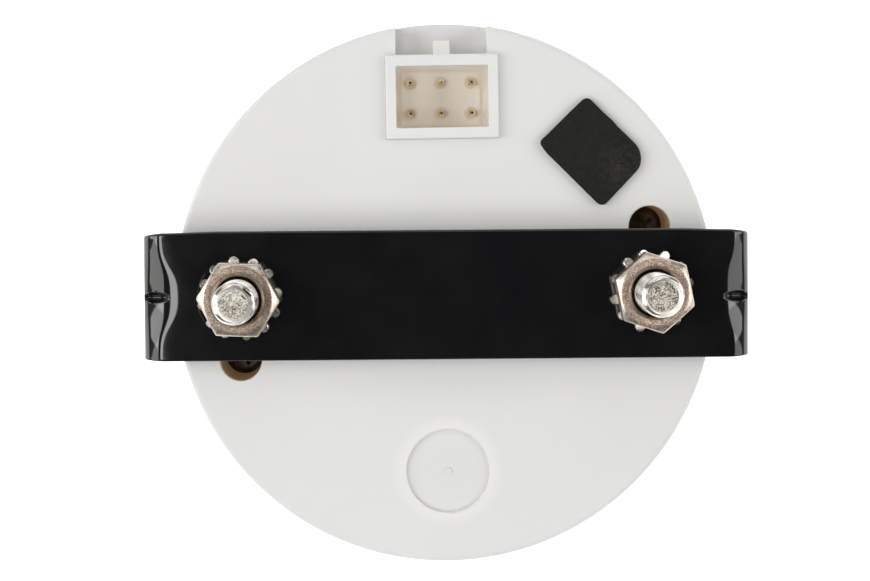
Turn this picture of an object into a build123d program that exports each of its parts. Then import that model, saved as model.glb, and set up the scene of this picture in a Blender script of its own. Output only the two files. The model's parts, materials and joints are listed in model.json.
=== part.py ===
from build123d import *
import os
from math import cos, radians, sin

os.makedirs("parts", exist_ok=True)

# Round panel gauge for a battery monitor, standing on its bezel.
# Millimetres. Origin: middle of the bezel's front face. +Z runs to the rear studs,
# +X along the clamp bracket, +Y towards the rear header.

# ---- driving dimensions ----
case_radius = 26.0          # 52 mm panel gauge body
case_wall = 1.5
case_back_z = 36.0          # outer face of the rear wall
back_wall = 1.8
bezel_radius = 27.4
flange_thick = 3.5
seam_z = 4.4                # where the rear case meets the front bezel

stud_spacing = 39.2
stud_radius = 2.0           # M4
stud_tip_z = 50.8
boss_height = 1.5           # seat of the bracket above the rear wall

strip_thick = 1.5
strip_width = 12.35
bracket_length = 58.2
leg_tip_z = 5.0
leg_tip_width = 10.7        # the legs narrow a little towards the panel
bend_radius = 2.0

nut_flats = 6.85            # M4 hexagon nut
nut_height = 3.2
washer_height = 0.85        # sprung teeth included

header_y = 18.9             # middle of the six-pin header
screw_circle = 20.7
screw_angle = 17.1

key_x = 8.0
key_y = -16.5
key_radius = 2.5
key_travel = 0.5

display_y = 3.0             # middle of the display window

# ---- heights worked out from them ----
inner_radius = case_radius - case_wall
inner_back_z = case_back_z - back_wall
web_bottom_z = case_back_z + boss_height
web_top_z = web_bottom_z + strip_thick
nut_bottom_z = web_top_z + washer_height
stud_x = stud_spacing / 2
screw_x = screw_circle * cos(radians(screw_angle))
screw_y = screw_circle * sin(radians(screw_angle))
screw_spots = [(screw_x, screw_y), (-screw_x, -screw_y)]
stud_spots = [(stud_x, 0), (-stud_x, 0)]
key_spots = [(key_x, key_y), (-key_x, key_y)]

lens_front_z = 0.8
lens_back_z = 2.5
mask_back_z = 2.7
plate_front_z = 2.9
plate_back_z = 4.9
lens_radius = 24.2
glass_split_z = 6.0
glass_back_z = 7.1
diffuser_back_z = 7.3
display_board_z = 9.6
board_thick = 1.6
display_board_top = display_board_z + board_thick
main_board_z = 26.0
main_board_top = main_board_z + board_thick
board_radius = 23.4

post_split_z = 18.0         # the front and rear screw posts meet here
rear_post_radius = 3.2
front_post_radius = 2.6
screw_seat_z = 27.3
screw_bore_radius = 2.0
screw_shank_radius = 1.1

stud_head_z = 29.6
stud_head_radius = 3.2
stud_head_thick = 3.0

shroud_x = 10.9
shroud_y = 8.1
shroud_top_z = case_back_z + 0.8
socket_x = 8.86
socket_y = 5.95
socket_floor_z = 29.4
pin_side = 0.64
pin_pitch = 3.0
pin_tip_z = 32.0


def save(part, name):
    part.label = name
    export_step(part, f"parts/{name}.step")


# ================= rear case =================
case_edge_round = 0.5
small_edge_round = 0.15
merge_depth = 0.2           # how far a boss or post runs into the wall that it joins
latch_recess_x = 8.8
latch_recess_deep = 3.4
gate_recess_radius = 4.0
gate_recess_deep = 0.4
gate_stub_radius = 0.3
gate_stub_high = 0.12
gate_y = -17.2
port_spot = (14.45, 13.38)
port_radius = 1.0
housing_x = 14.0            # block of plastic round the header
housing_y = 12.6
housing_offset_y = 0.6
housing_bottom_z = 30.8
inner_boss_radius = 4.4
outer_boss_radius = 3.6
shank_clearance = 0.2

with BuildPart() as rear_case:
    # cup, open towards the bezel
    with BuildSketch(Plane.XY.offset(seam_z)):
        Circle(case_radius)
    extrude(amount=case_back_z - seam_z)
    fillet(rear_case.edges().group_by(Axis.Z)[-1], radius=case_edge_round)
    with BuildSketch(Plane.XY.offset(seam_z)):
        Circle(inner_radius)
    extrude(amount=inner_back_z - seam_z, mode=Mode.SUBTRACT)

    # block round the header and under the latch recess, cut to the case's curve
    with BuildSketch(Plane.XY.offset(housing_bottom_z)):
        with Locations((0, header_y + housing_offset_y)):
            Rectangle(housing_x, housing_y)
        Circle(inner_radius + case_wall / 2, mode=Mode.INTERSECT)
    extrude(amount=inner_back_z - housing_bottom_z + merge_depth)

    # bosses that hold the stud heads inside, and seat the bracket outside
    with BuildSketch(Plane.XY.offset(stud_head_z - 1.0)):
        with Locations(*stud_spots):
            Circle(inner_boss_radius)
    extrude(amount=inner_back_z - stud_head_z + 1.0 + merge_depth)
    with BuildSketch(Plane.XY.offset(case_back_z - merge_depth)):
        with Locations(*stud_spots):
            Circle(outer_boss_radius)
    extrude(amount=boss_height + merge_depth)

    # screw posts
    with BuildSketch(Plane.XY.offset(post_split_z)):
        with Locations(*screw_spots):
            Circle(rear_post_radius)
    extrude(amount=inner_back_z - post_split_z + merge_depth)
    with BuildSketch(Plane.XY.offset(screw_seat_z)):
        with Locations(*screw_spots):
            Circle(screw_bore_radius)
    extrude(amount=case_back_z - screw_seat_z + 1, mode=Mode.SUBTRACT)
    with BuildSketch(Plane.XY.offset(post_split_z)):
        with Locations(*screw_spots):
            Circle(screw_shank_radius + shank_clearance)
    extrude(amount=screw_seat_z - post_split_z + 1, mode=Mode.SUBTRACT)

    # stud seats: a pocket for the splined head, and the hole for the stud
    with BuildSketch(Plane.XY.offset(stud_head_z - 2)):
        with Locations(*stud_spots):
            Circle(stud_head_radius)
    extrude(amount=stud_head_thick + 2, mode=Mode.SUBTRACT)
    with BuildSketch(Plane.XY.offset(stud_head_z)):
        with Locations(*stud_spots):
            Circle(stud_radius)
    extrude(amount=web_bottom_z - stud_head_z + 1, mode=Mode.SUBTRACT)

    # header opening and the latch recess that runs out through the rim
    with BuildSketch(Plane.XY.offset(housing_bottom_z - 1)):
        with Locations((0, header_y)):
            Rectangle(shroud_x, shroud_y)
    extrude(amount=case_back_z - housing_bottom_z + 2, mode=Mode.SUBTRACT)
    recess_from = header_y + shroud_y / 2 - merge_depth
    recess_long = 6.0
    with BuildSketch(Plane.XY.offset(case_back_z - latch_recess_deep)):
        with Locations((0, recess_from + recess_long / 2)):
            Rectangle(latch_recess_x, recess_long)
    extrude(amount=latch_recess_deep + 1, mode=Mode.SUBTRACT)

    # shallow gate recess with the stub of the gate in it
    with BuildSketch(Plane.XY.offset(case_back_z - gate_recess_deep)):
        with Locations((0, gate_y)):
            Circle(gate_recess_radius)
    extrude(amount=gate_recess_deep + 1, mode=Mode.SUBTRACT)
    with BuildSketch(Plane.XY.offset(case_back_z - gate_recess_deep)):
        with Locations((0, gate_y)):
            Circle(gate_stub_radius)
    extrude(amount=gate_stub_high)
    rims = rear_case.edges().filter_by(GeomType.CIRCLE).filter_by(
        lambda e: abs(e.center().Z - case_back_z) < 0.01
        and min(abs(e.radius - gate_recess_radius), abs(e.radius - screw_bore_radius)) < 0.01)
    fillet(rims, radius=small_edge_round)

    # small service port, closed by the rubber patch
    with BuildSketch(Plane.XY.offset(inner_back_z - 1)):
        with Locations(port_spot):
            Circle(port_radius)
    extrude(amount=back_wall + 2, mode=Mode.SUBTRACT)
save(rear_case.part, "rear_case")


# ================= front bezel =================
spigot_outer = inner_radius - 0.05
spigot_inner = 23.0
spigot_end_z = 8.0
window_x = 26.0
window_y = 14.0
pocket_x = 30.4
pocket_y = 20.4
pocket_wall = 1.1
key_hole_radius = key_radius + 0.1
lens_gap = 0.1              # lens to its recess, all round
bezel_front_round = 1.2
bezel_rear_round = 0.2
window_round = 0.8
pilot_depth_start = plate_back_z + 2

with BuildPart() as front_bezel:
    with BuildSketch():
        Circle(bezel_radius)
    extrude(amount=flange_thick)
    fillet(front_bezel.edges().group_by(Axis.Z)[0], radius=bezel_front_round)
    fillet(front_bezel.edges().group_by(Axis.Z)[-1], radius=bezel_rear_round)
    with BuildSketch(Plane.XY.offset(flange_thick)):
        Circle(case_radius)
    extrude(amount=seam_z - flange_thick)
    # recess for the lens, with a sloped mouth
    with BuildSketch():
        Circle(lens_radius + lens_gap)
    extrude(amount=plate_front_z, mode=Mode.SUBTRACT)
    chamfer(front_bezel.edges().filter_by(GeomType.CIRCLE).filter_by(
        lambda e: abs(e.radius - lens_radius - lens_gap) < 0.01).group_by(Axis.Z)[0], length=0.6)
    # spigot that enters the rear case
    with BuildSketch(Plane.XY.offset(seam_z)):
        Circle(spigot_outer)
        Circle(spigot_inner, mode=Mode.SUBTRACT)
    extrude(amount=spigot_end_z - seam_z)
    with BuildSketch(Plane.XY.offset(seam_z)):
        Circle(spigot_outer)
    extrude(amount=plate_back_z - seam_z)
    # pocket walls round the display
    with BuildSketch(Plane.XY.offset(plate_back_z)):
        with Locations((0, display_y)):
            Rectangle(pocket_x + 2 * pocket_wall, pocket_y + 2 * pocket_wall)
            Rectangle(pocket_x, pocket_y, mode=Mode.SUBTRACT)
    extrude(amount=display_board_z - plate_back_z)
    # screw posts with their pilot holes
    with BuildSketch(Plane.XY.offset(plate_back_z - 0.1)):
        with Locations(*screw_spots):
            Circle(front_post_radius)
    extrude(amount=post_split_z - plate_back_z + 0.1)
    with BuildSketch(Plane.XY.offset(pilot_depth_start)):
        with Locations(*screw_spots):
            Circle(screw_shank_radius + 0.03)
    extrude(amount=post_split_z - plate_back_z, mode=Mode.SUBTRACT)
    # display window and key holes through the plate
    with BuildSketch(Plane.XY.offset(plate_front_z - 1)):
        with Locations((0, display_y)):
            RectangleRounded(window_x, window_y, window_round)
        with Locations(*key_spots):
            Circle(key_hole_radius)
    extrude(amount=plate_back_z - plate_front_z + 2, mode=Mode.SUBTRACT)
save(front_bezel.part, "front_bezel")

lens_key_hole = key_hole_radius + 0.1
mask_margin = 1.0           # the printed mask overlaps the window's edge by half of this
mask_round = 0.6
tape_width = 2.0

with BuildPart() as lens:
    with BuildSketch(Plane.XY.offset(lens_front_z)):
        Circle(lens_radius)
        with Locations(*key_spots):
            Circle(lens_key_hole, mode=Mode.SUBTRACT)
    extrude(amount=lens_back_z - lens_front_z)
    chamfer(lens.edges().group_by(Axis.Z)[0], length=0.15)
save(lens.part, "lens")

with BuildPart() as dial_mask:
    with BuildSketch(Plane.XY.offset(lens_back_z)):
        Circle(lens_radius)
        with Locations(*key_spots):
            Circle(lens_key_hole, mode=Mode.SUBTRACT)
        with Locations((0, display_y)):
            RectangleRounded(window_x - mask_margin, window_y - mask_margin, mask_round,
                             mode=Mode.SUBTRACT)
    extrude(amount=mask_back_z - lens_back_z)
save(dial_mask.part, "dial_mask")

with BuildPart() as lens_adhesive:
    with BuildSketch(Plane.XY.offset(mask_back_z)):
        Circle(lens_radius)
        Circle(lens_radius - tape_width, mode=Mode.SUBTRACT)
    extrude(amount=plate_front_z - mask_back_z)
save(lens_adhesive.part, "lens_adhesive")

gasket_thick = 0.8
gasket_outer = bezel_radius - 0.3
gasket_inner = case_radius + 0.05
with BuildPart() as panel_gasket:
    with BuildSketch(Plane.XY.offset(flange_thick)):
        Circle(gasket_outer)
        Circle(gasket_inner, mode=Mode.SUBTRACT)
    extrude(amount=gasket_thick)
save(panel_gasket.part, "panel_gasket")


# ================= keys and switches =================
key_front_z = 0.4
key_flange_thick = 0.6
key_flange_radius = key_radius + 0.8
key_edge_round = 0.4
key_back_z = plate_back_z + key_flange_thick
plunger_radius = 1.7
plunger_long = 1.5
switch_side = 6.0
switch_front_z = 6.2


def make_key(x):
    with BuildPart() as key:
        with BuildSketch(Plane.XY.offset(key_front_z)):
            with Locations((x, key_y)):
                Circle(key_radius)
        extrude(amount=plate_back_z - key_front_z)
        fillet(key.edges().group_by(Axis.Z)[0], radius=key_edge_round)
        with BuildSketch(Plane.XY.offset(plate_back_z)):
            with Locations((x, key_y)):
                Circle(key_flange_radius)
        extrude(amount=key_flange_thick)
    return key.part


def make_plunger(x):
    with BuildPart() as plunger:
        with BuildSketch(Plane.XY.offset(key_back_z)):
            with Locations((x, key_y)):
                Circle(plunger_radius)
        extrude(amount=plunger_long)
        chamfer(plunger.edges().group_by(Axis.Z)[0], length=0.15)
    return plunger.part


def make_switch(x):
    with BuildPart() as switch:
        with BuildSketch(Plane.XY.offset(switch_front_z)):
            with Locations((x, key_y)):
                Rectangle(switch_side, switch_side)
        extrude(amount=display_board_z - switch_front_z)
        chamfer(switch.edges().group_by(Axis.Z)[0], length=0.2)
        with BuildSketch(Plane.XY.offset(switch_front_z)):
            with Locations((x, key_y)):
                Circle(plunger_radius + 0.05)
        extrude(amount=plunger_long + key_travel, mode=Mode.SUBTRACT)
    return switch.part


for side, x in (("left", -key_x), ("right", key_x)):
    save(make_key(x), f"key_{side}")
    save(make_plunger(x), f"switch_plunger_{side}")
    save(make_switch(x), f"key_switch_{side}")


# ================= display stack =================
glass_x = 30.0
glass_y = 20.0
ledge = 2.5
rear_glass_y = glass_y - ledge
rear_glass_mid = display_y + ledge / 2
glass_low_y = display_y - glass_y / 2

with BuildPart() as lcd_front_glass:
    with BuildSketch(Plane.XY.offset(plate_back_z)):
        with Locations((0, display_y)):
            Rectangle(glass_x, glass_y)
    extrude(amount=glass_split_z - plate_back_z)
save(lcd_front_glass.part, "lcd_front_glass")

with BuildPart() as lcd_rear_glass:
    with BuildSketch(Plane.XY.offset(glass_split_z)):
        with Locations((0, rear_glass_mid)):
            Rectangle(glass_x, rear_glass_y)
    extrude(amount=glass_back_z - glass_split_z)
save(lcd_rear_glass.part, "lcd_rear_glass")

with BuildPart() as diffuser_sheet:
    with BuildSketch(Plane.XY.offset(glass_back_z)):
        with Locations((0, rear_glass_mid)):
            Rectangle(glass_x, rear_glass_y)
    extrude(amount=diffuser_back_z - glass_back_z)
save(diffuser_sheet.part, "diffuser_sheet")

guide_y = 14.6
guide_mid = display_y - 0.3
with BuildPart() as light_guide:
    with BuildSketch(Plane.XY.offset(diffuser_back_z)):
        with Locations((0, guide_mid)):
            Rectangle(glass_x, guide_y)
    extrude(amount=display_board_z - diffuser_back_z)
    chamfer(light_guide.edges().group_by(Axis.Z)[0].group_by(Axis.Y)[-1], length=0.3)
save(light_guide.part, "light_guide")

led_x = 3.0
led_side = 1.4
led_apart = 16.0
led_y = guide_mid + guide_y / 2 + 0.8
with BuildPart() as backlight_leds:
    with BuildSketch(Plane.XY.offset(display_board_z - led_side)):
        with Locations((-led_apart / 2, led_y), (led_apart / 2, led_y)):
            Rectangle(led_x, led_side)
    extrude(amount=led_side)
save(backlight_leds.part, "backlight_leds")

strip_inset_y = 1.2
contact_strip_x = glass_x - 2
contact_strip_y = 1.6
with BuildPart() as contact_strip:
    with BuildSketch(Plane.XY.offset(glass_split_z)):
        with Locations((0, glass_low_y + strip_inset_y)):
            Rectangle(contact_strip_x, contact_strip_y)
    extrude(amount=display_board_z - glass_split_z)
save(contact_strip.part, "contact_strip")


# ================= circuit boards =================
spacer_circle = 18.5
spacer_angles = [45, 165, 285]
spacer_corner_radius = 2.2
post_gap = 0.3
pin_hole_radius = 0.55
link_y = -6.0
link_columns = 5
link_pitch = 2.54
link_pin = 0.64

with BuildPart() as display_board:
    with BuildSketch(Plane.XY.offset(display_board_z)):
        Circle(spigot_inner - post_gap)
        with Locations(*screw_spots):
            Circle(front_post_radius + post_gap, mode=Mode.SUBTRACT)
    extrude(amount=board_thick)
save(display_board.part, "display_board")

pin_spots = [(pin_pitch * i, header_y + pin_pitch / 2 * j) for i in (-1, 0, 1) for j in (-1, 1)]
with BuildPart() as main_board:
    with BuildSketch(Plane.XY.offset(main_board_z)):
        Circle(board_radius)
        with Locations(*screw_spots):
            Circle(rear_post_radius + post_gap, mode=Mode.SUBTRACT)
        with Locations(*pin_spots):
            Circle(pin_hole_radius, mode=Mode.SUBTRACT)
    extrude(amount=board_thick)
save(main_board.part, "main_board")

with BuildPart() as board_spacers:
    with BuildSketch(Plane.XY.offset(display_board_top)):
        for angle in spacer_angles:
            with Locations((spacer_circle * cos(radians(angle)),
                            spacer_circle * sin(radians(angle)))):
                RegularPolygon(spacer_corner_radius, 6)
    extrude(amount=main_board_z - display_board_top)
save(board_spacers.part, "board_spacers")

link_x_size = link_columns * link_pitch
link_base_z = display_board_top + 2.5
link_pin_end_z = 20.5
link_socket_z = 17.0
with BuildPart() as link_header:
    with BuildSketch(Plane.XY.offset(display_board_top)):
        with Locations((0, link_y)):
            Rectangle(link_x_size, 2 * link_pitch)
    extrude(amount=link_base_z - display_board_top)
    with BuildSketch(Plane.XY.offset(link_base_z)):
        with Locations((0, link_y)):
            with GridLocations(link_pitch, link_pitch, link_columns, 2):
                Rectangle(link_pin, link_pin)
    extrude(amount=link_pin_end_z - link_base_z)
save(link_header.part, "link_header")

with BuildPart() as link_socket:
    with BuildSketch(Plane.XY.offset(link_socket_z)):
        with Locations((0, link_y)):
            Rectangle(link_x_size, 2 * link_pitch)
    extrude(amount=main_board_z - link_socket_z)
    with BuildSketch(Plane.XY.offset(link_socket_z)):
        with Locations((0, link_y)):
            with GridLocations(link_pitch, link_pitch, link_columns, 2):
                Rectangle(link_pin + 0.2, link_pin + 0.2)
    extrude(amount=link_pin_end_z - link_socket_z + 0.5, mode=Mode.SUBTRACT)
save(link_socket.part, "link_socket")

chip_side = 10.0
chip_spot = (-9.0, 6.5)
chip_high = 1.5
chip_standoff = 0.2
lead_count = 11
lead_pitch = 0.8
lead_long = 1.1
lead_wide = 0.35
lead_high = 0.8
lead_rows_apart = chip_side + 0.9
with BuildPart() as microcontroller:
    with BuildSketch(Plane.XY.offset(main_board_z - chip_high)):
        with Locations(chip_spot):
            Rectangle(chip_side, chip_side)
    extrude(amount=chip_high - chip_standoff)
    chamfer(microcontroller.edges().group_by(Axis.Z)[0], length=0.2)
    with BuildSketch(Plane.XY.offset(main_board_z - lead_high)):
        with Locations(chip_spot):
            with GridLocations(lead_pitch, lead_rows_apart, lead_count, 2):
                Rectangle(lead_wide, lead_long)
            with GridLocations(lead_rows_apart, lead_pitch, 2, lead_count):
                Rectangle(lead_long, lead_wide)
    extrude(amount=lead_high)
save(microcontroller.part, "microcontroller")

regulator_spot = (9.5, -13.5)
regulator_x = 6.5
regulator_y = 3.5
regulator_high = 1.7
tab_x = 3.0
tab_y = 7.0
tab_high = 0.4
with BuildPart() as voltage_regulator:
    with BuildSketch(Plane.XY.offset(main_board_z - regulator_high)):
        with Locations(regulator_spot):
            Rectangle(regulator_x, regulator_y)
    extrude(amount=regulator_high - 0.1)
    with BuildSketch(Plane.XY.offset(main_board_z - tab_high)):
        with Locations(regulator_spot):
            Rectangle(tab_x, tab_y)
    extrude(amount=tab_high)
save(voltage_regulator.part, "voltage_regulator")

capacitor_spots = [(-2.5, -14.5), (-10.0, -14.5)]
capacitor_radius = 3.15
capacitor_high = 5.4
with BuildPart() as filter_capacitors:
    with BuildSketch(Plane.XY.offset(main_board_z - capacitor_high)):
        with Locations(*capacitor_spots):
            Circle(capacitor_radius)
    extrude(amount=capacitor_high)
    fillet(filter_capacitors.edges().group_by(Axis.Z)[0], radius=0.4)
save(filter_capacitors.part, "filter_capacitors")

inductor_spot = (12.5, 0.5)
inductor_side = 7.0
inductor_high = 4.0
with BuildPart() as filter_inductor:
    with BuildSketch(Plane.XY.offset(main_board_z - inductor_high)):
        with Locations(inductor_spot):
            RectangleRounded(inductor_side, inductor_side, 1.4)
    extrude(amount=inductor_high)
save(filter_inductor.part, "filter_inductor")

crystal_spot = (-12.5, -5.0)
crystal_long = 10.2
crystal_wide = 4.4
crystal_high = 3.5
with BuildPart() as quartz_crystal:
    with BuildSketch(Plane.XY.offset(main_board_z - crystal_high)):
        with Locations(crystal_spot):
            SlotOverall(crystal_long, crystal_wide, rotation=90)
    extrude(amount=crystal_high)
save(quartz_crystal.part, "quartz_crystal")

buzzer_spot = (7.0, 9.0)
buzzer_radius = 4.5
buzzer_high = 6.5
sound_hole_radius = 1.0
sound_hole_deep = 1.5
with BuildPart() as alarm_buzzer:
    with BuildSketch(Plane.XY.offset(main_board_z - buzzer_high)):
        with Locations(buzzer_spot):
            Circle(buzzer_radius)
    extrude(amount=buzzer_high)
    with BuildSketch(Plane.XY.offset(main_board_z - buzzer_high)):
        with Locations(buzzer_spot):
            Circle(sound_hole_radius)
    extrude(amount=sound_hole_deep, mode=Mode.SUBTRACT)
save(alarm_buzzer.part, "alarm_buzzer")


# ================= header =================
latch_x = 1.54
latch_out = 1.45
latch_top_drop = 0.3
latch_foot_z = 33.6
latch_heel_z = 34.4
latch_nose_z = 35.3
header_gap = 0.04           # header to the case opening, over both sides
floor_pad_x = 7.7           # the socket's floor stands up as a pad inside a shallow moat
floor_pad_y = 5.2
moat_deep = 0.4
pin_relief_radius = 0.62

socket_corner_round = 0.15
header_rim_round = 0.2

with BuildPart() as header_body:
    with BuildSketch(Plane.XY.offset(main_board_top)):
        with Locations((0, header_y)):
            Rectangle(shroud_x - header_gap, shroud_y - header_gap)
    extrude(amount=shroud_top_z - main_board_top)
    fillet(header_body.edges().group_by(Axis.Z)[-1], radius=header_rim_round)
    with BuildSketch(Plane.XY.offset(socket_floor_z)):
        with Locations((0, header_y)):
            RectangleRounded(socket_x, socket_y, socket_corner_round)
    extrude(amount=shroud_top_z - socket_floor_z, mode=Mode.SUBTRACT)
    with BuildSketch(Plane.XY.offset(socket_floor_z)):
        with Locations((0, header_y)):
            RectangleRounded(socket_x, socket_y, socket_corner_round)
            Rectangle(floor_pad_x, floor_pad_y, mode=Mode.SUBTRACT)
        with Locations(*pin_spots):
            Circle(pin_relief_radius)
    extrude(amount=-moat_deep, mode=Mode.SUBTRACT)
    # wedge that the plug's latch arm snaps over
    latch_wall_y = header_y + shroud_y / 2 - 0.1
    with BuildSketch(Plane.YZ):
        with BuildLine():
            Polyline((latch_wall_y, latch_foot_z),
                     (latch_wall_y + latch_out, latch_heel_z),
                     (latch_wall_y + latch_out, latch_nose_z),
                     (latch_wall_y, shroud_top_z - latch_top_drop),
                     close=True)
        make_face()
    extrude(amount=latch_x / 2, both=True)
    with BuildSketch(Plane.XY.offset(main_board_top - 1)):
        with Locations(*pin_spots):
            Rectangle(pin_side, pin_side)
    extrude(amount=socket_floor_z - main_board_top + 2, mode=Mode.SUBTRACT)
save(header_body.part, "header_body")

pin_tail_z = main_board_z - 1.0
pin_point = 0.45
pin_taper = 24
with BuildPart() as header_pins:
    with BuildSketch(Plane.XY.offset(pin_tail_z)):
        with Locations(*pin_spots):
            Rectangle(pin_side, pin_side)
    extrude(amount=pin_tip_z - pin_point - pin_tail_z)
    with BuildSketch(Plane.XY.offset(pin_tip_z - pin_point)):
        with Locations(*pin_spots):
            Rectangle(pin_side, pin_side)
    extrude(amount=pin_point, taper=pin_taper)
save(header_pins.part, "header_pins")


# ================= case screws =================
screw_head_radius = 1.85
screw_head_thick = 1.8
screw_head_round = 0.6
screw_end_z = 8.0
cross_long = 2.0
cross_wide = 0.5
cross_deep = 1.1
cross_turn = 30
with BuildPart() as case_screws:
    for spot in screw_spots:
        with BuildSketch(Plane.XY.offset(screw_end_z)):
            with Locations(spot):
                Circle(screw_shank_radius)
        extrude(amount=screw_seat_z - screw_end_z)
    for spot in screw_spots:
        with BuildSketch(Plane.XY.offset(screw_seat_z)):
            with Locations(spot):
                Circle(screw_head_radius)
        extrude(amount=screw_head_thick)
    fillet(case_screws.edges().group_by(Axis.Z)[-1], radius=screw_head_round)
    # cross recess
    with BuildSketch(Plane.XY.offset(screw_seat_z + screw_head_thick)):
        for x, y in screw_spots:
            with Locations(Location((x, y, 0), (0, 0, cross_turn)),
                           Location((x, y, 0), (0, 0, cross_turn + 90))):
                Rectangle(cross_long, cross_wide)
    extrude(amount=-cross_deep, mode=Mode.SUBTRACT)
save(case_screws.part, "case_screws")


# ================= rubber patch =================
patch_long = 8.48
patch_wide = 6.2
patch_thick = 0.8
patch_turn = radians(-46)
patch_cut_x = 1.0
patch_cut_y = 1.1
patch_plane = Plane(origin=(port_spot[0], port_spot[1], case_back_z),
                    x_dir=(cos(patch_turn), sin(patch_turn), 0), z_dir=(0, 0, 1))
with BuildPart() as rubber_patch:
    with BuildSketch(patch_plane):
        with BuildLine():
            # rectangle with one corner cut away
            right = patch_long / 2
            high = patch_wide / 2
            Polyline((-right, -high), (right, -high), (right, high - patch_cut_y),
                     (right - patch_cut_x, high), (-right, high), close=True)
        make_face()
    extrude(amount=patch_thick)
    fillet(rubber_patch.edges().filter_by(Axis.Z), radius=0.4)
    fillet(rubber_patch.edges().group_by(Axis.Z)[-1], radius=0.15)
save(rubber_patch.part, "rubber_patch")


# ================= studs =================
tip_chamfer = 0.7
groove_size = 0.05
groove_above_nut = 0.25
collar_groove_z = nut_bottom_z + nut_height + groove_above_nut


def make_stud(x):
    """M4 stud, turned; the upper length, free above the nut, comes first in the profile."""
    with BuildPart() as stud:
        with BuildSketch(Plane.XZ):
            with BuildLine():
                Polyline((x, stud_tip_z),
                         (x + stud_radius - tip_chamfer, stud_tip_z),
                         (x + stud_radius, stud_tip_z - tip_chamfer),
                         (x + stud_radius, collar_groove_z),
                         (x + stud_radius - groove_size, collar_groove_z - groove_size),
                         (x + stud_radius, collar_groove_z - 2 * groove_size),
                         (x + stud_radius, stud_head_z + stud_head_thick),
                         (x + stud_head_radius, stud_head_z + stud_head_thick),
                         (x + stud_head_radius, stud_head_z),
                         (x, stud_head_z),
                         close=True)
            make_face()
        revolve(axis=Axis((x, 0, 0), (0, 0, 1)))
    return stud.part


for side, x in (("left", -stud_x), ("right", stud_x)):
    save(make_stud(x), f"stud_{side}")


# ================= clamp bracket =================
hole_radius = 2.3
leg_corner_round = 2.0
leg_outer_x = bracket_length / 2
leg_inner_x = leg_outer_x - strip_thick

with BuildPart() as clamp_bracket:
    with BuildSketch(Plane.XZ):
        with BuildLine():
            Polyline((-leg_outer_x, leg_tip_z), (-leg_outer_x, web_top_z),
                     (leg_outer_x, web_top_z), (leg_outer_x, leg_tip_z),
                     (leg_inner_x, leg_tip_z), (leg_inner_x, web_bottom_z),
                     (-leg_inner_x, web_bottom_z), (-leg_inner_x, leg_tip_z),
                     close=True)
        make_face()
    extrude(amount=strip_width / 2, both=True)
    with BuildSketch(Plane.YZ):
        with BuildLine():
            wide = strip_width / 2
            narrow = leg_tip_width / 2
            Polyline((-wide, web_top_z), (-wide, web_top_z - bend_radius), (-narrow, leg_tip_z),
                     (narrow, leg_tip_z), (wide, web_top_z - bend_radius), (wide, web_top_z),
                     close=True)
        make_face()
    extrude(amount=leg_outer_x, both=True, mode=Mode.INTERSECT)
    outer_bends = clamp_bracket.edges().filter_by(Axis.Y).group_by(Axis.Z)[-1]
    fillet(outer_bends, radius=bend_radius)
    inner_bends = clamp_bracket.edges().filter_by(Axis.Y).filter_by(
        lambda e: abs(e.center().Z - web_bottom_z) < 0.01 and abs(e.center().X) > leg_inner_x - 0.1)
    fillet(inner_bends, radius=bend_radius - strip_thick)
    with BuildSketch(Plane.XY.offset(web_bottom_z - 1)):
        with Locations(*stud_spots):
            Circle(hole_radius)
    extrude(amount=strip_thick + 2, mode=Mode.SUBTRACT)
    leg_corners = clamp_bracket.edges().filter_by(Axis.X).group_by(Axis.Z)[0]
    fillet(leg_corners, radius=leg_corner_round)
save(clamp_bracket.part, "clamp_bracket")


# ================= lock washers =================
washer_inner = 2.15
washer_ring = 3.3
washer_tip = 4.1
washer_sheet = 0.5
tooth_count = 12
tooth_width = 0.94
tooth_root = 0.5            # how far a tooth's slot runs back into the ring
tooth_twist = 20
washer_mid_z = web_top_z + washer_height / 2


def make_washer(x, first_tooth):
    """External-tooth lock washer: a flat ring with teeth twisted about their own length."""
    with BuildPart() as washer:
        with BuildSketch(Plane.XY.offset(washer_mid_z - washer_sheet / 2)):
            with Locations((x, 0)):
                Circle(washer_ring)
                Circle(washer_inner, mode=Mode.SUBTRACT)
        extrude(amount=washer_sheet)
        for i in range(tooth_count):
            angle = radians(first_tooth + i * 360 / tooth_count)
            lean = radians(tooth_twist)
            along = (cos(angle), sin(angle), 0)
            normal = (-sin(angle) * sin(lean), cos(angle) * sin(lean), cos(lean))
            with BuildSketch(Plane(origin=(x, 0, washer_mid_z), x_dir=along, z_dir=normal)):
                with Locations(((washer_ring + washer_tip - tooth_root) / 2, 0)):
                    SlotOverall(washer_tip - washer_ring + tooth_root, tooth_width)
            extrude(amount=washer_sheet / 2, both=True)
    return washer.part


save(make_washer(-stud_x, 9), "lock_washer_left")
save(make_washer(stud_x, 10.8), "lock_washer_right")


# ================= nuts =================
nut_bore = stud_radius + 0.06
countersink_radius = 2.55
corner_slope = 0.58         # rise of the 30 degree corner chamfer over 1 mm


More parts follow.
